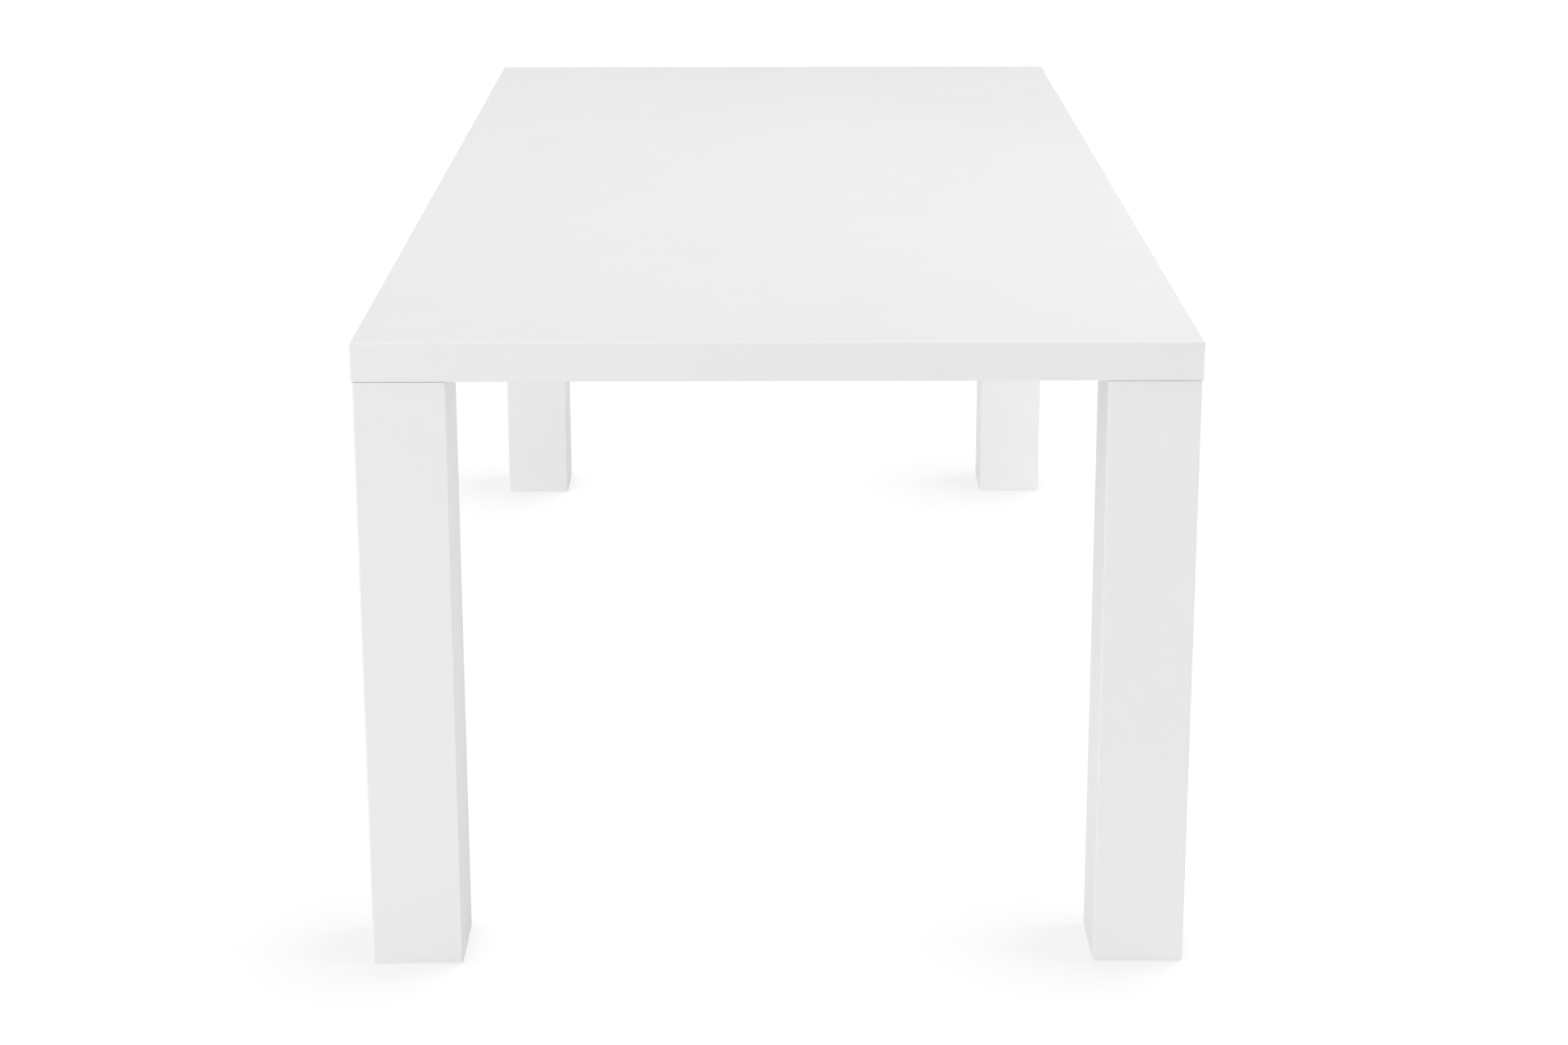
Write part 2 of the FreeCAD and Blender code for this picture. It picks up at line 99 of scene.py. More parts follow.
class Slot(Enum):
    """The record's material slots."""

    WHITE_LACQUER = "white_lacquer"
    UNDERSIDE_WHITE = "underside_white"
    CORE_BOARD = "core_board"
    BLOCK_WOOD = "block_wood"
    ZINC_PLATE = "zinc_plate"
    ZINC_FASTENER = "zinc_fastener"
    GLIDE_PLASTIC = "glide_plastic"


class Corner(Enum):
    """The corners of the table, with their sides in X and Y."""

    FRONT_LEFT = (-1, -1)
    FRONT_RIGHT = (1, -1)
    REAR_RIGHT = (1, 1)
    REAR_LEFT = (-1, 1)

    @property
    def label(self) -> str:
        """The corner's name, as the nodes have it."""
        return self.name.lower()


# Node trees

def opaque(colour: Colour) -> tuple[float, float, float, float]:
    """The colour with a full alpha."""
    return (*colour, 1.0)


class Bench:
    """A node tree with short ways to add and join its nodes."""

    def __init__(self, tree: bpy.types.NodeTree) -> None:
        """Take up a node tree.

        Args:
            tree: The tree of a material, a world or a group.
        """
        self.tree = tree

    @classmethod
    def emptied(cls, owner: bpy.types.Material | bpy.types.World) -> "Bench":
        """Take up the tree of a new material or world, without its first nodes.

        Args:
            owner: The material or world.

        Returns:
            The bench of its tree.
        """
        owner.use_nodes = True
        owner.node_tree.nodes.clear()
        return cls(owner.node_tree)

    def feed(self, socket: Socket, value: object) -> None:
        """Give an input what it gets.

        Args:
            socket: The input.
            value: A socket to link to it, or a plain value.
        """
        if isinstance(value, Socket):
            self.tree.links.new(value, socket)
        else:
            socket.default_value = value

    def add(self, kind: str, values: dict[str, object] | None = None, **settings: object) -> bpy.types.Node:
        """Add a node.

        Args:
            kind: The node's type.
            values: What its inputs get, by socket name or identifier: a socket to link, or a plain value.
            settings: The node's own properties.

        Returns:
            The new node.
        """
        node = self.tree.nodes.new(kind)
        for name, setting in settings.items():
            setattr(node, name, setting)
        for name, value in (values or {}).items():
            socket = next(item for item in node.inputs if name in (item.identifier, item.name))
            self.feed(socket, value)
        return node

    def mix(self, factor: Socket, first: object, second: object) -> Socket:
        """Mix two colours.

        Args:
            factor: The share of the second colour.
            first: The first colour, or a socket.
            second: The second colour, or a socket.

        Returns:
            The mixed colour.
        """
        values = {"Factor_Float": factor, "A_Color": first, "B_Color": second}
        node = self.add("ShaderNodeMix", values, data_type="RGBA")
        return next(item for item in node.outputs if item.identifier == "Result_Color")

    def math(self, operation: str, first: object, second: object) -> Socket:
        """Join two numbers.

        Args:
            operation: The sum to do, as the Math node names it.
            first: The first number, or a socket.
            second: The second number, or a socket.

        Returns:
            The result.
        """
        node = self.add("ShaderNodeMath", operation=operation)
        for socket, value in zip(node.inputs, (first, second)):
            self.feed(socket, value)
        return node.outputs["Value"]

    def span(self, value: Socket, low: object, high: object, start: float = 0.3, end: float = 0.7) -> Socket:
        """Spread a pattern's value over a range.

        Args:
            value: The pattern.
            low: What the range starts at, or a socket.
            high: What the range ends at, or a socket.
            start: The pattern's value at the start of the range.
            end: The pattern's value at the end of the range.

        Returns:
            The value in its range.
        """
        values = {"Value": value, "From Min": start, "From Max": end, "To Min": low, "To Max": high}
        return self.add("ShaderNodeMapRange", values).outputs["Result"]

    def noise(self, vector: Socket, scale: Socket, detail: float) -> Socket:
        """Add an even noise.

        Args:
            vector: The coordinates that it follows.
            scale: Its size, per metre.
            detail: Its finer octaves.

        Returns:
            The noise, about a half.
        """
        values = {"Vector": vector, "Scale": scale, "Detail": detail}
        return self.add("ShaderNodeTexNoise", values).outputs["Fac"]

    def place(self) -> Socket:
        """The coordinates of the piece."""
        return self.add("ShaderNodeTexCoord").outputs["Object"]


def start_group(name: str, inputs: dict[str, str]) -> tuple[Bench, bpy.types.NodeOutputs]:
    """Start a node group that puts out a colour, a roughness and a height.

    Args:
        name: The group's name.
        inputs: The kind of each input that is its own, by name.

    Returns:
        The bench of the group, and the sockets of its inputs.
    """
    shared = {"Pale": "Color", "Dark": "Color", "Smoothest": "Float", "Roughest": "Float"}
    group = bpy.data.node_groups.new(name, "ShaderNodeTree")
    for label, kind in (shared | inputs).items():
        group.interface.new_socket(label, in_out="INPUT", socket_type=f"NodeSocket{kind}")
    for label, kind in (("Color", "Color"), ("Roughness", "Float"), ("Height", "Float")):
        group.interface.new_socket(label, in_out="OUTPUT", socket_type=f"NodeSocket{kind}")
    bench = Bench(group)
    return bench, bench.add("NodeGroupInput").outputs


@cache
def film_group() -> bpy.types.NodeTree:
    """Draw a sprayed or moulded film: faint clouds, orange peel and smoother arrises.

    Returns:
        The node group.
    """
    scales = {"Cloud Scale": "Float", "Peel Scale": "Float", "Arris Gloss": "Float"}
    bench, inlet = start_group("sprayed_film", scales)
    place = bench.place()
    clouds = bench.noise(place, inlet["Cloud Scale"], CLOUD_DETAIL)
    rubbed = bench.noise(place, bench.math("MULTIPLY", inlet["Cloud Scale"], RUBS_PER_CLOUD), RUB_DETAIL)
    peel = bench.noise(place, inlet["Peel Scale"], PEEL_DETAIL)
    arris = bench.add("ShaderNodeAttribute", attribute_name=ARRIS_LAYER).outputs["Fac"]
    colour = bench.mix(bench.span(clouds, 0.0, 1.0), inlet["Pale"], inlet["Dark"])
    rough = bench.span(rubbed, inlet["Smoothest"], inlet["Roughest"])
    eased = bench.math("SUBTRACT", rough, bench.math("MULTIPLY", arris, inlet["Arris Gloss"]))
    bench.add("NodeGroupOutput", {"Color": colour, "Roughness": eased, "Height": peel})
    return bench.tree


@cache
def steel_group() -> bpy.types.NodeTree:
    """Draw zinc plate: crystals of uneven brightness, with dull smears and fine pits.

    Returns:
        The node group.
    """
    bench, inlet = start_group("zinc_coat", {"Crystal Scale": "Float", "Smear Scale": "Float"})
    place = bench.place()
    crystals = bench.add("ShaderNodeTexVoronoi", {"Vector": place, "Scale": inlet["Crystal Scale"]})
    level = bench.add("ShaderNodeSeparateColor", {"Color": crystals.outputs["Color"]}).outputs["Red"]
    smears = bench.noise(place, inlet["Smear Scale"], SMEAR_DETAIL)
    pits = bench.noise(place, bench.math("MULTIPLY", inlet["Crystal Scale"], PITS_PER_CRYSTAL), PIT_DETAIL)
    both = bench.math("ADD", level, bench.span(smears, 0.0, 1.0))
    colour = bench.mix(bench.math("MULTIPLY", both, CRYSTAL_SHARE), inlet["Pale"], inlet["Dark"])
    rough = bench.span(smears, inlet["Smoothest"], inlet["Roughest"])
    bench.add("NodeGroupOutput", {"Color": colour, "Roughness": rough, "Height": pits})
    return bench.tree


@cache
def wood_group() -> bpy.types.NodeTree:
    """Draw raw wood or fibreboard: streaks along the grain, with short fibres in them.

    Returns:
        The node group.
    """
    scales = {"Vector": "Vector", "Streak Scale": "Float", "Fibre Scale": "Float"}
    bench, inlet = start_group("raw_wood", scales)
    streaks = bench.noise(inlet["Vector"], inlet["Streak Scale"], STREAK_DETAIL)
    fibres = bench.noise(inlet["Vector"], inlet["Fibre Scale"], FIBRE_DETAIL)
    blend = bench.math("ADD", bench.span(streaks, 0.0, STREAK_SHARE), bench.span(fibres, 0.0, FIBRE_SHARE))
    colour = bench.mix(blend, inlet["Pale"], inlet["Dark"])
    rough = bench.span(fibres, inlet["Smoothest"], inlet["Roughest"])
    bench.add("NodeGroupOutput", {"Color": colour, "Roughness": rough, "Height": fibres})
    return bench.tree


# Finishes

@dataclass(frozen=True)
class Finish(ABC):
    """What all the finishes share.

    Attributes:
        slot: The record's slot that the finish is for.
        pale: Its paler tone.
        dark: Its darker tone.
        smoothest: Its lowest roughness.
        roughest: Its highest roughness.
        relief: The depth of its texture.
        metallic: Whether it is metal.
        specular: How strong its surface reflection is.
    """

    slot: Slot
    pale: Colour
    dark: Colour
    smoothest: float
    roughest: float
    relief: float
    metallic: float = 0.0
    specular: float = 0.5

    @abstractmethod
    def group(self) -> bpy.types.NodeTree:
        """The node group that draws the finish."""

    @abstractmethod
    def pattern(self, bench: Bench) -> dict[str, object]:
        """The group's inputs that are this finish's own.

        Args:
            bench: The material's tree.

        Returns:
            The values or sockets, by input name.
        """

    def build(self) -> bpy.types.Material:
        """Make the material.

        Returns:
            The material, named for its slot.
        """
        material = bpy.data.materials.new(self.slot.value)
        bench = Bench.emptied(material)
        tones = {"Pale": opaque(self.pale), "Dark": opaque(self.dark)}
        rough = {"Smoothest": self.smoothest, "Roughest": self.roughest}
        drawn = bench.add("ShaderNodeGroup", tones | rough | self.pattern(bench), node_tree=self.group())
        bump = bench.add("ShaderNodeBump", {"Height": drawn.outputs["Height"], "Distance": self.relief})
        shader = bench.add("ShaderNodeBsdfPrincipled", {
            "Base Color": drawn.outputs["Color"], "Roughness": drawn.outputs["Roughness"],
            "Normal": bump.outputs["Normal"], "Metallic": self.metallic, "Specular IOR Level": self.specular})
        bench.add("ShaderNodeOutputMaterial", {"Surface": shader.outputs["BSDF"]})
        material.diffuse_color = opaque(self.pale)
        return material


@dataclass(frozen=True)
class Film(Finish):
    """A sprayed or moulded film.

    Attributes:
        cloud_scale: The size of its clouds of tone, per metre.
        peel_scale: The size of its orange peel, per metre.
        arris_gloss: How much smoother it is where it runs over an arris.
    """

    cloud_scale: float = 3.0
    peel_scale: float = 450.0
    arris_gloss: float = 0.08

    def group(self) -> bpy.types.NodeTree:
        """The node group that draws the film."""
        return film_group()

    def pattern(self, bench: Bench) -> dict[str, object]:
        """The film's own inputs."""
        scales = {"Cloud Scale": self.cloud_scale, "Peel Scale": self.peel_scale}
        return scales | {"Arris Gloss": self.arris_gloss}


@dataclass(frozen=True)
class Zinc(Finish):
    """Zinc plate on steel.

    Attributes:
        crystal_scale: The size of the zinc's crystals, per metre.
        smear_scale: The size of the dull smears, per metre.
    """

    crystal_scale: float = 260.0
    smear_scale: float = 22.0

    def group(self) -> bpy.types.NodeTree:
        """The node group that draws the zinc."""
        return steel_group()

    def pattern(self, bench: Bench) -> dict[str, object]:
        """The zinc's own inputs."""
        return {"Crystal Scale": self.crystal_scale, "Smear Scale": self.smear_scale}


@dataclass(frozen=True)
class RawWood(Finish):
    """Raw wood or board.

    Attributes:
        stretch: How often the grain repeats along X, Y and Z: less along the grain.
        streak_scale: The size of the streaks, per metre.
        fibre_scale: The size of the fibres, per metre.
    """

    stretch: Point = (1.0, 1.0, 1.0)
    streak_scale: float = 30.0
    fibre_scale: float = 400.0

    def group(self) -> bpy.types.NodeTree:
        """The node group that draws the wood."""
        return wood_group()

    def pattern(self, bench: Bench) -> dict[str, object]:
        """The wood's own inputs, with its grain stretched along the piece.

        Args:
            bench: The material's tree.

        Returns:
            The values or sockets, by input name.
        """
        grain = bench.add("ShaderNodeMapping", {"Vector": bench.place(), "Scale": self.stretch})
        scales = {"Streak Scale": self.streak_scale, "Fibre Scale": self.fibre_scale}
        return scales | {"Vector": grain.outputs["Vector"]}


FINISHES: tuple[Finish, ...] = (
    Film(Slot.WHITE_LACQUER, pale=(0.85, 0.85, 0.845), dark=(0.832, 0.833, 0.829),
         smoothest=0.45, roughest=0.55, relief=0.00001, specular=0.4,
         cloud_scale=2.2, peel_scale=420.0, arris_gloss=0.10),
    Film(Slot.UNDERSIDE_WHITE, pale=(0.76, 0.76, 0.75), dark=(0.72, 0.72, 0.71),
         smoothest=0.62, roughest=0.75, relief=0.00004,
         cloud_scale=5.0, peel_scale=650.0, arris_gloss=0.04),
    Film(Slot.GLIDE_PLASTIC, pale=(0.72, 0.72, 0.71), dark=(0.62, 0.62, 0.60),
         smoothest=0.50, roughest=0.70, relief=0.00003,
         cloud_scale=40.0, peel_scale=1500.0, arris_gloss=0.05),
    RawWood(Slot.CORE_BOARD, pale=(0.52, 0.38, 0.24), dark=(0.36, 0.24, 0.14),
            smoothest=0.75, roughest=0.92, relief=0.00012,
            streak_scale=60.0, fibre_scale=900.0),
    RawWood(Slot.BLOCK_WOOD, pale=(0.68, 0.50, 0.30), dark=(0.48, 0.31, 0.16),
            smoothest=0.60, roughest=0.80, relief=0.00010,
            stretch=(1.0, 0.08, 1.0), streak_scale=120.0, fibre_scale=900.0),
    Zinc(Slot.ZINC_PLATE, pale=(0.66, 0.67, 0.69), dark=(0.48, 0.49, 0.51),
         smoothest=0.30, roughest=0.48, relief=0.00003, metallic=1.0),
    Zinc(Slot.ZINC_FASTENER, pale=(0.72, 0.73, 0.76), dark=(0.56, 0.57, 0.60),
         smoothest=0.22, roughest=0.36, relief=0.00002, metallic=1.0,
         crystal_scale=600.0, smear_scale=90.0),
)


class FinishRack:
    """The materials of all the slots, each made once."""

    def __init__(self, finishes: Iterable[Finish]) -> None:
        """Make the materials.

        Args:
            finishes: One finish for each slot.
        """
        self.materials = {finish.slot: finish.build() for finish in finishes}

    def dress(self, data: bpy.types.Mesh, *slots: Slot) -> None:
        """Give a mesh its materials in order, which sets the material indices of its faces to 0.

        Args:
            data: The mesh of a new piece, before its faces are written, or of a node of the frame.
            slots: The slots, the main one first.
        """
        data.materials.clear()
        for slot in slots:
            data.materials.append(self.materials[slot])


# Mesh work

def edges_where(mesh: BMesh, test: Callable[[Vector, Vector], bool]) -> list[BMEdge]:
    """The edges whose two ends pass a test.

    Args:
        mesh: The mesh in work.
        test: Takes the places of the two ends.

    Returns:
        The edges.
    """
    return [edge for edge in mesh.edges if test(*(vert.co for vert in edge.verts))]


def is_upright(start: Vector, end: Vector) -> bool:
    """Whether an edge stands upright."""
    return (start.xy - end.xy).length < TOUCH


def lies_at(height: float) -> Callable[[Vector, Vector], bool]:
    """A test for edges that lie flat at a height."""
    return lambda start, end: max(abs(start.z - height), abs(end.z - height)) < TOUCH


def is_beyond(point: Vector, middle: Vector, reach: Vector) -> bool:
    """Whether a point lies outside a rectangle, seen from above.

    Args:
        point: The point.
        middle: The middle of the rectangle.
        reach: Half its width and half its depth.

    Returns:
        True for a point outside it.
    """
    return abs(point.x - middle.x) > reach.x or abs(point.y - middle.y) > reach.y


def flat_square(mesh: BMesh, centre: Point, width: float, depth: float) -> BMFace:
    """Start a mesh with one flat face.

    Args:
        mesh: The mesh in work.
        centre: The middle of the face.
        width: Its size along X.
        depth: Its size along Y.

    Returns:
        The face.
    """
    matrix = Matrix.Translation(centre) @ Matrix.Diagonal((width, depth, 1.0, 1.0))
    made = bmesh.ops.create_grid(mesh, x_segments=1, y_segments=1, size=UNIT_HALF, matrix=matrix)
    return made["verts"][0].link_faces[0]


def raise_faces(mesh: BMesh, faces: Sequence[BMFace], height: float) -> None:
    """Extrude faces upright into a solid.

    Args:
        mesh: The mesh in work.
        faces: The faces to raise.
        height: How far up they go.
    """
    made = bmesh.ops.extrude_face_region(mesh, geom=list(faces), use_keep_orig=True)
    raised = [item for item in made["geom"] if isinstance(item, BMVert)]
    bmesh.ops.translate(mesh, verts=raised, vec=(0.0, 0.0, height))


def ease(mesh: BMesh, edges: Sequence[BMEdge], radius: float, segments: int) -> None:
    """Round edges over, and mark the new faces as arrises.

    Args:
        mesh: The mesh in work.
        edges: The edges to round.
        radius: The radius of the rounding.
        segments: The number of faces across it.
    """
    layer = mesh.faces.layers.float.get(ARRIS_LAYER) or mesh.faces.layers.float.new(ARRIS_LAYER)
    made = bmesh.ops.bevel(mesh, geom=list(edges), offset=radius, offset_type="OFFSET", segments=segments,
                           profile=0.5, affect="EDGES", clamp_overlap=True, material=-1)
    for face in made["faces"]:
        face[layer] = 1.0


def round_corners(mesh: BMesh, face: BMFace, radius: float, segments: int) -> None:
    """Round the corners of a flat face.

    Args:
        mesh: The mesh in work.
        face: The face.
        radius: The radius of its corners.
        segments: The number of edges in each.
    """
    bmesh.ops.bevel(mesh, geom=list(face.verts), offset=radius, offset_type="OFFSET", segments=segments,
                    profile=0.5, affect="VERTICES", clamp_overlap=True, material=-1)


def finish_piece(mesh: BMesh, name: str, rack: FinishRack, slots: Sequence[Slot],
                 nodes: Sequence[str]) -> None:
    """Turn a mesh into a dressed piece that stands for nodes of the frame.

    Args:
        mesh: The mesh in work, which is freed.
        name: The piece's name.
        rack: The finishes.
        slots: Its slots, the main one first.
        nodes: The nodes that it stands for.
    """
    bmesh.ops.recalc_face_normals(mesh, faces=mesh.faces[:])
    for face in mesh.faces:
        face.smooth = True
    data = bpy.data.meshes.new(name)
    rack.dress(data, *slots)
    mesh.to_mesh(data)
    mesh.free()
    data.set_sharp_from_angle(angle=SHARP_ANGLE)
    piece = bpy.data.objects.new(name, data)
    bpy.context.scene.collection.objects.link(piece)
    weighted = piece.modifiers.new("even_shading", "WEIGHTED_NORMAL")
    weighted.keep_sharp = True
    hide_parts(*nodes)
    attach(piece, BODY)
    log.info("%s: %d faces", name, len(data.polygons))


# Sub-assemblies

@dataclass
class TableTop:
    """The lacquered top: a tray of the upper skin and the edges, closed below by the underside panel.

    Attributes:
        rack: The finishes.
        wall: The thickness of the tray's edges, clear of the core that is housed in them.
        skin: The thickness of the tray's upper face.
        arris: The radius of the upper and upright arrises.
        lower_arris: The radius of the lower arris.
        opening_outer: How far the openings for the leg plates start from the edges.
        opening_inner: How far they reach from the edges.
        opening_cut: How much of their inner corner is cut off.
        half_width: Half the width of the top, from the frame.
        half_length: Half its length, from the frame.
        upper: The height of its upper face, from the frame.
        seat: The height at which the tray sits on the panel, from the frame.
        underside: The height of the panel's lower face, from the frame.
    """

    rack: FinishRack
    wall: float = 0.032
    skin: float = 0.006
    arris: float = 0.0025
    lower_arris: float = 0.0005
    opening_outer: float = 0.009
    opening_inner: float = 0.175
    opening_cut: float = 0.045
    half_width: float = field(init=False)
    half_length: float = field(init=False)
    upper: float = field(init=False)
    seat: float = field(init=False)
    underside: float = field(init=False)

    def __post_init__(self) -> None:
        """Read the outer sizes from the frame."""
        self.half_width, self.half_length, self.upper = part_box("upper_skin")[1]
        self.underside, self.seat = (corner[2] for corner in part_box("lower_skin"))

    def build(self) -> None:
        """Build the tray and the underside panel."""
        self.build_tray()
        self.build_panel()

    def build_tray(self) -> None:
        """Build the upper face and the edges of the top as one sprayed shell, open below."""
        mesh = bmesh.new()
        face = flat_square(mesh, (0.0, 0.0, self.seat), self.half_width * 2, self.half_length * 2)
        raise_faces(mesh, [face], self.upper - self.seat)
        is_upper = lies_at(self.upper)
        outer = edges_where(mesh, lambda start, end: is_upright(start, end) or is_upper(start, end))
        ease(mesh, outer, self.arris, ARRIS_STEPS)
        floor = next(face for face in mesh.faces if self.is_seated(face))
        bmesh.ops.inset_region(mesh, faces=[floor], thickness=self.wall, use_even_offset=True)
        raise_faces(mesh, [floor], self.upper - self.skin - self.seat)
        bmesh.ops.delete(mesh, geom=[floor], context="FACES")
        finish_piece(mesh, "top_tray", self.rack, [Slot.WHITE_LACQUER],
                     ["upper_skin", "left_edge_rail", "right_edge_rail", "front_edge_rail", "rear_edge_rail"])

    def build_panel(self) -> None:
        """Build the underside panel, with its lacquered edge and an opening for each leg plate."""
        mesh = bmesh.new()
        flat_square(mesh, (0.0, 0.0, self.underside), self.half_width * 2, self.half_length * 2)
        for axis, half in enumerate((self.half_width, self.half_length)):
            normal = Vector((0.0, 0.0, 0.0))
            normal[axis] = 1.0
            for side in (-1, 1):
                for inward in (self.opening_outer, self.opening_inner):
                    self.cut_faces(mesh, mesh.faces[:], normal * side * (half - inward), normal)
        for corner in Corner:
            self.open_corner(mesh, corner)
        raise_faces(mesh, mesh.faces[:], self.seat - self.underside)
        ease(mesh, edges_where(mesh, self.is_outer_upright), self.arris, ARRIS_STEPS)
        lower = edges_where(mesh, lies_at(self.underside))
        ease(mesh, [edge for edge in lower if self.is_rim(edge)], self.lower_arris, FINE_STEPS)
        self.mark_edge(mesh)
        slots = [Slot.UNDERSIDE_WHITE, Slot.WHITE_LACQUER]
        finish_piece(mesh, "underside_panel", self.rack, slots, ["lower_skin"])

    def cut_faces(self, mesh: BMesh, faces: Sequence[BMFace], point: Vector, normal: Vector) -> None:
        """Cut faces along a plane, and keep both sides.

        Args:
            mesh: The mesh in work.
            faces: The faces to cut.
            point: A point of the plane.
            normal: The plane's direction.
        """
        parts = {item for face in faces for item in (face, *face.edges, *face.verts)}
        bmesh.ops.bisect_plane(mesh, geom=list(parts), plane_co=point, plane_no=normal)

    def open_corner(self, mesh: BMesh, corner: Corner) -> None:
        """Cut the opening for a leg plate, with its inner corner cut off.

        Args:
            mesh: The mesh in work.
            corner: The corner of the table.
        """
        middle = self.corner_point(corner, (self.opening_outer + self.opening_inner) / 2)
        square = min(mesh.faces, key=lambda face: (face.calc_center_median() - middle).length)
        point = self.corner_point(corner, self.opening_inner - self.opening_cut / 2)
        self.cut_faces(mesh, [square], point, Vector((*corner.value, 0.0)))
        opening = min(mesh.faces, key=lambda face: (face.calc_center_bounds() - middle).length)
        bmesh.ops.delete(mesh, geom=[opening], context="FACES")

    def corner_point(self, corner: Corner, inward: float) -> Vector:
        """Find a point of the underside that is as far from one edge of a corner as from the other.

        Args:
            corner: The corner of the table.
            inward: The distance from both edges.

        Returns:
            The point.
        """
        side_x, side_y = corner.value
        across = (self.half_width - inward) * side_x
        along = (self.half_length - inward) * side_y
        return Vector((across, along, self.underside))

    def mark_edge(self, mesh: BMesh) -> None:
        """Give the panel's upright faces and its arrises the second material.

        Args:
            mesh: The mesh in work.
        """
        layer = mesh.faces.layers.float[ARRIS_LAYER]
        mesh.normal_update()
        for face in mesh.faces:
            face.material_index = int(abs(face.normal.z) < MASK_LEVEL or face[layer] > MASK_LEVEL)

    def is_seated(self, face: BMFace) -> bool:
        """Whether a face lies flat at the tray's seat."""
        return all(abs(vert.co.z - self.seat) < TOUCH for vert in face.verts)

    def is_outer_upright(self, start: Vector, end: Vector) -> bool:
        """Whether an edge is one of the four upright corner edges of the top."""
        at_corner = abs(start.x) > self.half_width - TOUCH and abs(start.y) > self.half_length - TOUCH
        return is_upright(start, end) and at_corner

    def is_rim(self, edge: BMEdge) -> bool:
        """Whether an edge runs round the outside of the top.

        Args:
            edge: An edge of the underside.

        Returns:
            True for an edge of the rim.
        """
        middle = (edge.verts[0].co + edge.verts[1].co) / 2
        reach = Vector((self.half_width - self.arris, self.half_length - self.arris))
        return is_beyond(middle, Vector((0.0, 0.0)), reach)


@dataclass
class Leg:
    """A hollow square leg with the pad under it.

    Attributes:
        rack: The finishes.
        corner: The corner that the leg stands in.
        board: The thickness of its boards.
        arris: The radius of its upright arrises.
        end_arris: The radius of its end arrises.
        pad_corner: The radius of the pad's corners.
        pad_arris: The radius of the pad's lower edge.
    """

    rack: FinishRack
    corner: Corner
    board: float = 0.016
    arris: float = 0.0025
    end_arris: float = 0.0005
    pad_corner: float = 0.008
    pad_arris: float = 0.0006

    def build(self) -> None:
        """Build the shell and the pad."""
        self.build_shell()
        self.build_pad()

    def build_shell(self) -> None:
        """Build the four mitred boards of the leg as one sprayed shell."""
        boards = [f"{self.corner.label}_leg_{face}_board" for face in ("front", "right", "rear", "left")]
        boxes = [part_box(board) for board in boards]
        low = Vector([min(box[0][axis] for box in boxes) for axis in range(3)])
        high = Vector([max(box[1][axis] for box in boxes) for axis in range(3)])
        middle = (low + high) / 2
        size = high - low
        mesh = bmesh.new()
        end = flat_square(mesh, (middle.x, middle.y, low.z), size.x, size.y)
        bmesh.ops.inset_region(mesh, faces=[end], thickness=self.board, use_even_offset=True,
                               use_boundary=True)
        bmesh.ops.delete(mesh, geom=[end], context="FACES")
        raise_faces(mesh, mesh.faces[:], size.z)
        reach = size.xy / 2 - Vector((self.arris, self.arris))
        uprights = edges_where(mesh, is_upright)
        corners = [edge for edge in uprights if is_beyond(edge.verts[0].co, middle, reach)]
        ease(mesh, corners, self.arris, ARRIS_STEPS)
        for height in (low.z, high.z):
            ends = edges_where(mesh, lies_at(height))
            outer = [edge for edge in ends if all(is_beyond(vert.co, middle, reach) for vert in edge.verts)]
            ease(mesh, outer, self.end_arris, FINE_STEPS)
        finish_piece(mesh, f"{self.corner.label}_leg_shell", self.rack, [Slot.WHITE_LACQUER], boards)

    def build_pad(self) -> None:
        """Build the pad, with its rounded corners and eased lower edge."""
        node = f"{self.corner.label}_glide"
        low, high = (Vector(point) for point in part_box(node))
        middle = (low + high) / 2
        mesh = bmesh.new()
        face = flat_square(mesh, (middle.x, middle.y, low.z), high.x - low.x, high.y - low.y)
        round_corners(mesh, face, self.pad_corner, PAD_CORNER_STEPS)
        raise_faces(mesh, mesh.faces[:], high.z - low.z)
        ease(mesh, edges_where(mesh, lies_at(low.z)), self.pad_arris, SMALL_STEPS)
        finish_piece(mesh, f"{self.corner.label}_glide_pad", self.rack, [Slot.GLIDE_PLASTIC], [node])


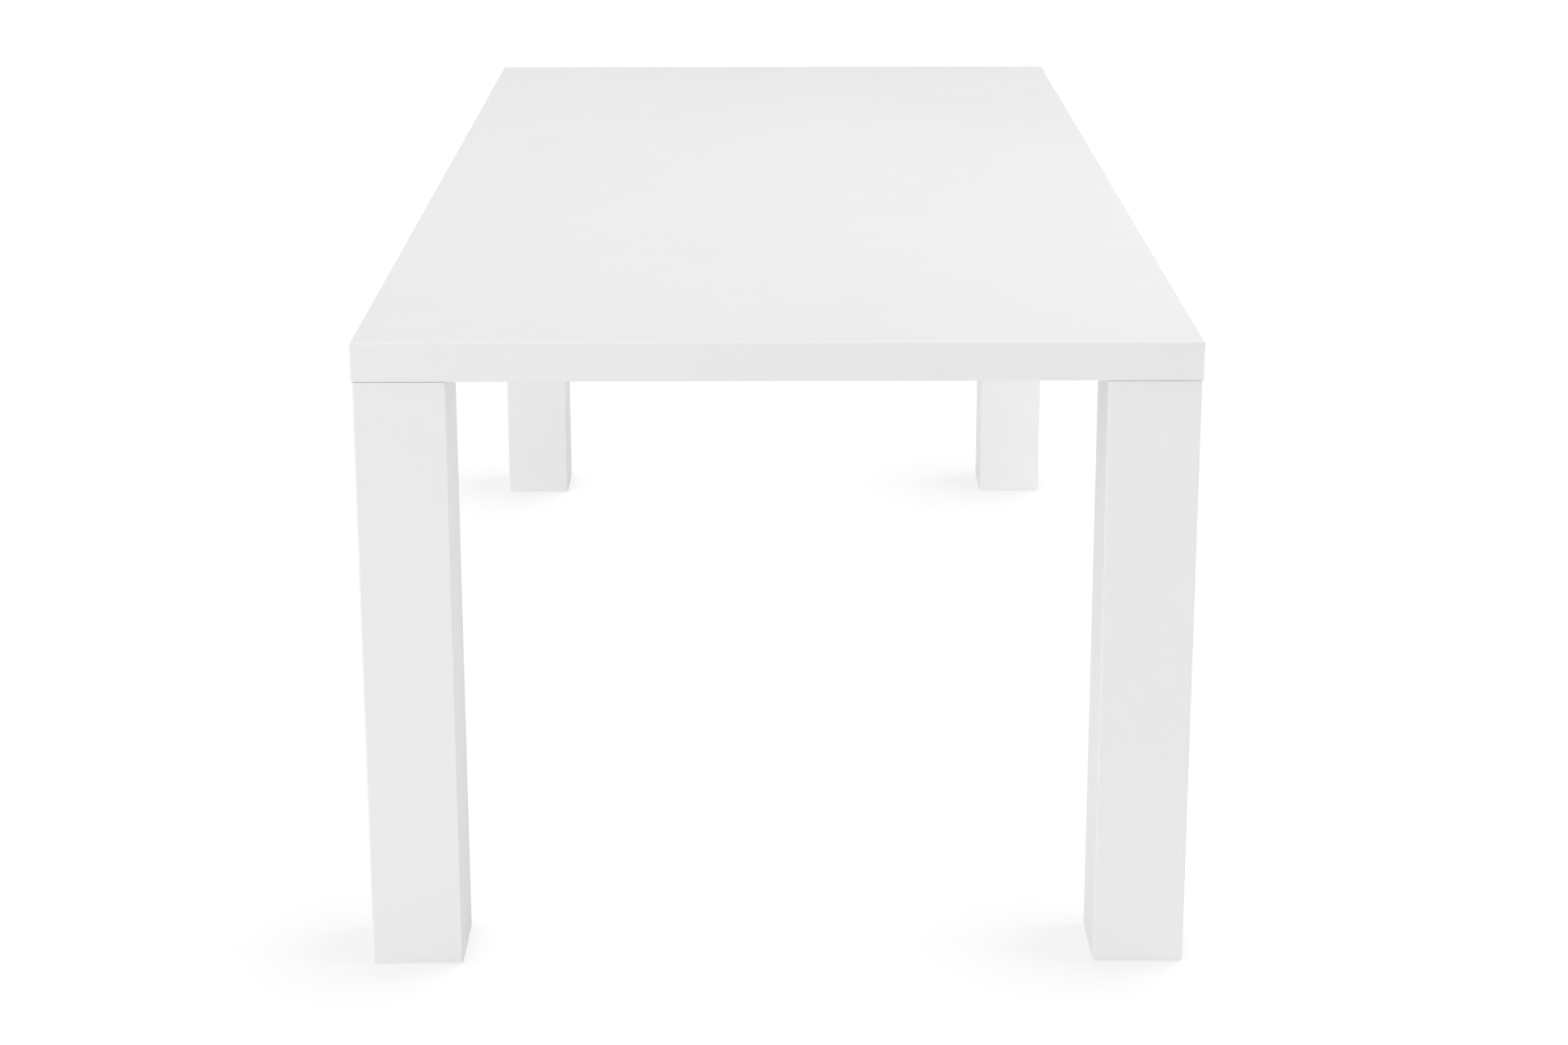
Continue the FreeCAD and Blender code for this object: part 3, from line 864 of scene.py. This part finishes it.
@dataclass
class LegBolts:
    """The hexagon bolts of all the leg plates, with rolled threads.

    Attributes:
        rack: The finishes.
        line: How far the bolts' line in each arm is from the edge of the top.
        end: How far the outer bolts are from the other edge.
        head_width: The width of the head across its flats.
        head_height: The height of the head.
        head_ease: How much the rim of the head is turned off.
        face_height: The height of the washer face on the head.
        face_root_share: The radius of the washer face at the head, as a share of the head's width.
        face_seat_share: The radius of the washer face at the seat, as a share of the head's width.
        radius: The outer radius of the thread.
        pitch: The pitch of the thread.
        depth_share: The depth of the thread, as a share of the pitch.
        sunk_share: How deep the ridge is sunk in the shank, as a share of the pitch.
        flank_share: The height of each flank of the ridge, as a share of the pitch.
        thread_turns: The number of turns of thread.
        runout_turns: The number of turns at the two ends together that have none.
        segments: The number of steps in a turn.
        seat: The height of the heads' seat, from the frame.
        length: The length of the shank, from the frame.
    """

    rack: FinishRack
    line: float = 0.1415
    end: float = 0.070
    head_width: float = 0.013
    head_height: float = 0.0053
    head_ease: float = 0.0007
    face_height: float = 0.0004
    face_root_share: float = 0.47
    face_seat_share: float = 0.48
    radius: float = 0.004
    pitch: float = 0.00125
    depth_share: float = 0.6
    sunk_share: float = 0.1
    flank_share: float = 0.45
    thread_turns: int = 16
    runout_turns: int = 2
    segments: int = 24
    seat: float = field(init=False)
    length: float = field(init=False)

    def __post_init__(self) -> None:
        """Read the heights from the frame."""
        low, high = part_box("leg_bolts")
        self.seat = low[2] + self.head_height
        self.length = high[2] - self.seat

    def build(self) -> None:
        """Build a bolt for each hole of each plate, as one piece."""
        mesh = bmesh.new()
        self.add_bolt(mesh)
        pattern = [*mesh.verts, *mesh.edges, *mesh.faces]
        half_width, half_length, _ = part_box("upper_skin")[1]
        for corner in Corner:
            side_x, side_y = corner.value
            for across, along in ((self.line, self.end), (self.line, self.line), (self.end, self.line)):
                made = bmesh.ops.duplicate(mesh, geom=pattern)
                verts = [item for item in made["geom"] if isinstance(item, BMVert)]
                place = ((half_width - across) * side_x, (half_length - along) * side_y, self.seat)
                bmesh.ops.translate(mesh, verts=verts, vec=place)
        bmesh.ops.delete(mesh, geom=[item for item in pattern if isinstance(item, BMVert)], context="VERTS")
        finish_piece(mesh, "leg_bolt_set", self.rack, [Slot.ZINC_FASTENER], ["leg_bolts"])

    def add_bolt(self, mesh: BMesh) -> None:
        """Add one bolt, with its seat at the origin.

        Args:
            mesh: The mesh in work.
        """
        core = self.radius - self.pitch * self.depth_share
        plain = self.plain_length()
        root = self.head_width * self.face_root_share
        rim = self.head_width * self.face_seat_share
        self.add_head(mesh)
        self.add_turned(mesh, ((0.0, -self.face_height), (root, -self.face_height), (rim, 0.0), (0.0, 0.0)))
        self.add_turned(mesh, ((0.0, 0.0), (self.radius, 0.0), (self.radius, plain),
                               (core, plain + self.pitch), (core, self.length - self.pitch),
                               (core - self.pitch / 2, self.length), (0.0, self.length)))
        self.add_thread(mesh, core)

    def plain_length(self) -> float:
        """The length of the shank below the thread."""
        return self.length - (self.thread_turns + self.runout_turns) * self.pitch

    def add_head(self, mesh: BMesh) -> None:
        """Add the hexagon head, with its rim turned off.

        Args:
            mesh: The mesh in work.
        """
        tall = self.head_height - self.face_height
        corner_radius = self.head_width / (2 * math.cos(math.pi / HEX_SIDES))
        middle = Matrix.Translation((0.0, 0.0, -self.face_height - tall / 2))
        bmesh.ops.create_cone(mesh, cap_ends=True, segments=HEX_SIDES, radius1=corner_radius,
                              radius2=corner_radius, depth=tall, matrix=middle)
        ease(mesh, edges_where(mesh, lies_at(-self.head_height)), self.head_ease, SMALL_STEPS)

    def add_turned(self, mesh: BMesh, profile: Sequence[tuple[float, float]]) -> None:
        """Add a turned form.

        Args:
            mesh: The mesh in work.
            profile: Its radii and heights, from axis to axis.
        """
        before = set(mesh.verts)
        verts = [mesh.verts.new((radius, 0.0, height)) for radius, height in profile]
        edges = [mesh.edges.new(pair) for pair in zip(verts, verts[1:])]
        bmesh.ops.spin(mesh, geom=verts + edges, cent=(0.0, 0.0, 0.0), axis=(0.0, 0.0, 1.0),
                       dvec=(0.0, 0.0, 0.0), angle=math.tau, steps=self.segments, use_merge=True,
                       use_duplicate=False)
        bmesh.ops.remove_doubles(mesh, verts=[vert for vert in mesh.verts if vert not in before], dist=TOUCH)

    def add_thread(self, mesh: BMesh, core: float) -> None:
        """Add the thread, a ridge wound round the shank.

        Args:
            mesh: The mesh in work.
            core: The radius at the root of the thread.
        """
        start = self.plain_length() + self.pitch
        sunk = core - self.pitch * self.sunk_share
        flank = self.pitch * self.flank_share
        section = ((sunk, start), (self.radius, start + flank), (sunk, start + flank * 2))
        face = mesh.faces.new([mesh.verts.new((radius, 0.0, height)) for radius, height in section])
        wound = self.thread_turns - 1
        bmesh.ops.spin(mesh, geom=[face], cent=(0.0, 0.0, 0.0), axis=(0.0, 0.0, 1.0),
                       dvec=(0.0, 0.0, self.pitch / self.segments), angle=math.tau * wound,
                       steps=self.segments * wound, use_merge=False, use_duplicate=False)


@dataclass
class HiddenFrame:
    """The nodes that keep their own shape: the core, the blocks, the plates with their boxes, and the nuts.

    Attributes:
        rack: The finishes.
    """

    rack: FinishRack

    def build(self) -> None:
        """Dress each node in the finish of its slot."""
        slots = {part["node"]: Slot(part["material_slot"]) for part in frame["record"]["subparts"]}
        for name, node in frame["nodes"].items():
            self.rack.dress(node.data, slots[name])
            log.info("%s: %s", name, slots[name].value)


# Studio

@dataclass(frozen=True)
class Lamp:
    """A soft panel light.

    Attributes:
        name: Its name.
        place: Where it stands.
        aim: What it faces.
        width: Its width.
        height: Its height.
        power: Its power in watts.
    """

    name: str
    place: Point
    aim: Point
    width: float
    height: float
    power: float

    def build(self) -> None:
        """Add the lamp, unseen by the camera."""
        data = bpy.data.lights.new(self.name, "AREA")
        data.shape = "RECTANGLE"
        data.size = self.width
        data.size_y = self.height
        data.energy = self.power
        lamp = bpy.data.objects.new(self.name, data)
        lamp.location = self.place
        lamp.rotation_euler = (Vector(self.aim) - Vector(self.place)).to_track_quat("-Z", "Y").to_euler()
        lamp.visible_camera = False
        bpy.context.scene.collection.objects.link(lamp)


@dataclass
class Studio:
    """A white floor and sky, soft lamps and the camera.

    Attributes:
        lamps: The panel lights.
        sky: How bright the sky lights the table.
        floor_size: The size of the floor.
        floor_level: The height of the floor, just under the pads.
        floor_tone: How pale the floor is to the light that it throws back.
        seen_tone: How strong its shading is where it is looked at.
        seen_glow: The white that is added there.
        shade_depth: How dark the painted shade beside a leg is.
        shade_full: How open the floor still is where that painted shade is full.
        shade_reach: How far it reaches from the leg.
        shade_side: The side that the light which it lacks comes from.
        foot_depth: How dark the narrow painted shade all round a foot is.
        foot_reach: How far it reaches from the foot.
        shade_samples: How finely both painted shades are worked out.
        eye: Where the camera stands.
        yaw: How far it is turned to the right, in degrees.
        pitch: How far it looks down, in degrees.
        roll: How far it is tilted, in degrees.
        focal: The focal length, in pixels of the image.
        drop: How far its axis is above the middle of the image, in pixels.
    """

    lamps: tuple[Lamp, ...] = (
        Lamp("front_panel", place=(-5.5, -14.0, 1.8), aim=(0.0, 0.0, 0.3),
             width=6.0, height=3.2, power=746.0),
        Lamp("rear_panel", place=(0.5, 9.0, 0.6), aim=(0.0, 0.0, 0.45),
             width=8.0, height=1.0, power=188.0),
        Lamp("right_panel", place=(4.2, 0.2, 0.5), aim=(0.0, 0.2, 0.45),
             width=4.0, height=0.8, power=46.0),
        Lamp("left_panel", place=(-4.2, 0.0, 1.8), aim=(0.0, 0.0, 0.3),
             width=4.0, height=1.6, power=59.5),
        Lamp("high_panel", place=(2.2, -0.8, 3.2), aim=(0.2, 0.0, 0.5),
             width=1.6, height=1.6, power=20.0),
        Lamp("overhead_panel", place=(0.6, -0.3, 5.5), aim=(0.0, 0.0, 0.0),
             width=5.0, height=5.0, power=121.0),
    )
    sky: float = 0.355
    floor_size: float = 60.0
    floor_level: float = -0.0002
    floor_tone: float = 0.95
    seen_tone: float = 0.12
    seen_glow: float = 0.945
    shade_depth: float = 0.125
    shade_full: float = 0.62
    shade_reach: float = 0.28
    shade_side: Point = (0.75, 0.22, 0.62)
    foot_depth: float = 0.19
    foot_reach: float = 0.05
    shade_samples: int = 16
    eye: Point = (-0.01112, -4.1703, 1.54395)
    yaw: float = 0.334
    pitch: float = 14.393
    roll: float = -0.043
    focal: float = 3613.2
    drop: float = 200.0

    def build(self) -> None:
        """Set up the floor, the sky, the lamps and the camera."""
        self.build_floor()
        self.build_sky()
        for lamp in self.lamps:
            lamp.build()
        self.build_camera()
        bpy.context.scene.view_settings.view_transform = "Standard"

    def looked_at(self, bench: Bench) -> Socket:
        """Whether a ray looks at the surface, straight, in a reflection or through glass.

        Args:
            bench: The tree to add the nodes to.

        Returns:
            1 for such a ray, and 0 for one that only lights.
        """
        path = bench.add("ShaderNodeLightPath").outputs
        reflected = bench.math("MAXIMUM", path["Is Glossy Ray"], path["Is Transmission Ray"])
        return bench.math("MAXIMUM", path["Is Camera Ray"], reflected)

    def build_floor(self) -> None:
        """Add the floor."""
        mesh = bmesh.new()
        flat_square(mesh, (0.0, 0.0, self.floor_level), self.floor_size, self.floor_size)
        data = bpy.data.meshes.new("studio_floor")
        mesh.to_mesh(data)
        mesh.free()
        data.materials.append(self.floor_material())
        floor = bpy.data.objects.new("studio_floor", data)
        bpy.context.scene.collection.objects.link(floor)

    def floor_material(self) -> bpy.types.Material:
        """Make the floor's material, which is white to the eye, keeps the shadows and has painted shade
        beside the legs.

        Returns:
            The material.
        """
        material = bpy.data.materials.new("studio_floor")
        bench = Bench.emptied(material)
        plain = bench.add("ShaderNodeBsdfDiffuse", {"Color": opaque((self.floor_tone,) * 3)})
        # Painted shade: it darkens both the shading and the white that the camera sees on the floor.
        shade = self.painted_floor_shade(bench)
        shaded = bench.add("ShaderNodeBsdfDiffuse", {"Color": bench.math("MULTIPLY", shade, self.seen_tone)})
        glow = bench.add("ShaderNodeEmission", {"Strength": bench.math("MULTIPLY", shade, self.seen_glow)})
        seen = bench.add("ShaderNodeAddShader", {
            "Shader": shaded.outputs["BSDF"], "Shader_001": glow.outputs["Emission"]})
        both = bench.add("ShaderNodeMixShader", {
            "Fac": self.looked_at(bench), "Shader": plain.outputs["BSDF"],
            "Shader_001": seen.outputs["Shader"]})
        bench.add("ShaderNodeOutputMaterial", {"Surface": both.outputs["Shader"]})
        return material

    def painted_floor_shade(self, bench: Bench) -> Socket:
        """Paint soft shade on the floor beside each leg, on the side away from one light, and round its foot.

        Args:
            bench: The tree to add the nodes to.

        Returns:
            1 on the open floor, and less beside a leg.
        """
        side = bench.add("ShaderNodeCombineXYZ", dict(zip("XYZ", self.shade_side)))
        beside_leg = {"Distance": self.shade_reach, "Normal": side.outputs["Vector"]}
        round_foot = {"Distance": self.foot_reach}
        wide = bench.add("ShaderNodeAmbientOcclusion", beside_leg, samples=self.shade_samples)
        near = bench.add("ShaderNodeAmbientOcclusion", round_foot, samples=self.shade_samples)
        # Painted shade: the two occlusion values darken the floor's seen colour; the lamps do not cast it.
        one_side = bench.span(wide.outputs["AO"], 1.0 - self.shade_depth, 1.0, start=self.shade_full, end=1.0)
        around = bench.span(near.outputs["AO"], 1.0 - self.foot_depth, 1.0, start=0.0, end=1.0)
        return bench.math("MINIMUM", one_side, around)

    def build_sky(self) -> None:
        """Set the sky, which is white to the eye and lights the table evenly."""
        world = bpy.data.worlds.new("studio_sky")
        bench = Bench.emptied(world)
        light = bench.add("ShaderNodeBackground", {"Color": opaque(WHITE), "Strength": self.sky})
        white = bench.add("ShaderNodeBackground", {"Color": opaque(WHITE), "Strength": 1.0})
        both = bench.add("ShaderNodeMixShader", {
            "Fac": self.looked_at(bench), "Shader": light.outputs["Background"],
            "Shader_001": white.outputs["Background"]})
        bench.add("ShaderNodeOutputWorld", {"Surface": both.outputs["Shader"]})
        bpy.context.scene.world = world

    def build_camera(self) -> None:
        """Add the camera at the photograph's viewing angle."""
        yaw, pitch, roll = (math.radians(angle) for angle in (self.yaw, self.pitch, self.roll))
        ahead = Vector((math.sin(yaw) * math.cos(pitch), math.cos(yaw) * math.cos(pitch), -math.sin(pitch)))
        right = Vector((math.cos(yaw), -math.sin(yaw), 0.0))
        turn = Matrix((right, right.cross(ahead), -ahead)).transposed() @ Matrix.Rotation(roll, 3, "Z")
        data = bpy.data.cameras.new("camera")
        data.sensor_width = SENSOR_WIDTH
        data.sensor_fit = "HORIZONTAL"
        data.lens = SENSOR_WIDTH * self.focal / IMAGE_WIDTH
        data.shift_y = -self.drop / IMAGE_WIDTH
        data.clip_end = self.floor_size * 2
        camera = bpy.data.objects.new("camera", data)
        camera.matrix_world = Matrix.Translation(self.eye) @ turn.to_4x4()
        bpy.context.scene.collection.objects.link(camera)
        bpy.context.scene.camera = camera


def main() -> None:
    """Build the table and its studio."""
    logging.basicConfig(level=logging.INFO, format="%(name)s %(message)s")
    rack = FinishRack(FINISHES)
    HiddenFrame(rack).build()
    TableTop(rack).build()
    for corner in Corner:
        Leg(rack, corner).build()
    LegBolts(rack).build()
    Studio().build()


if __name__ == "__main__":
    main()
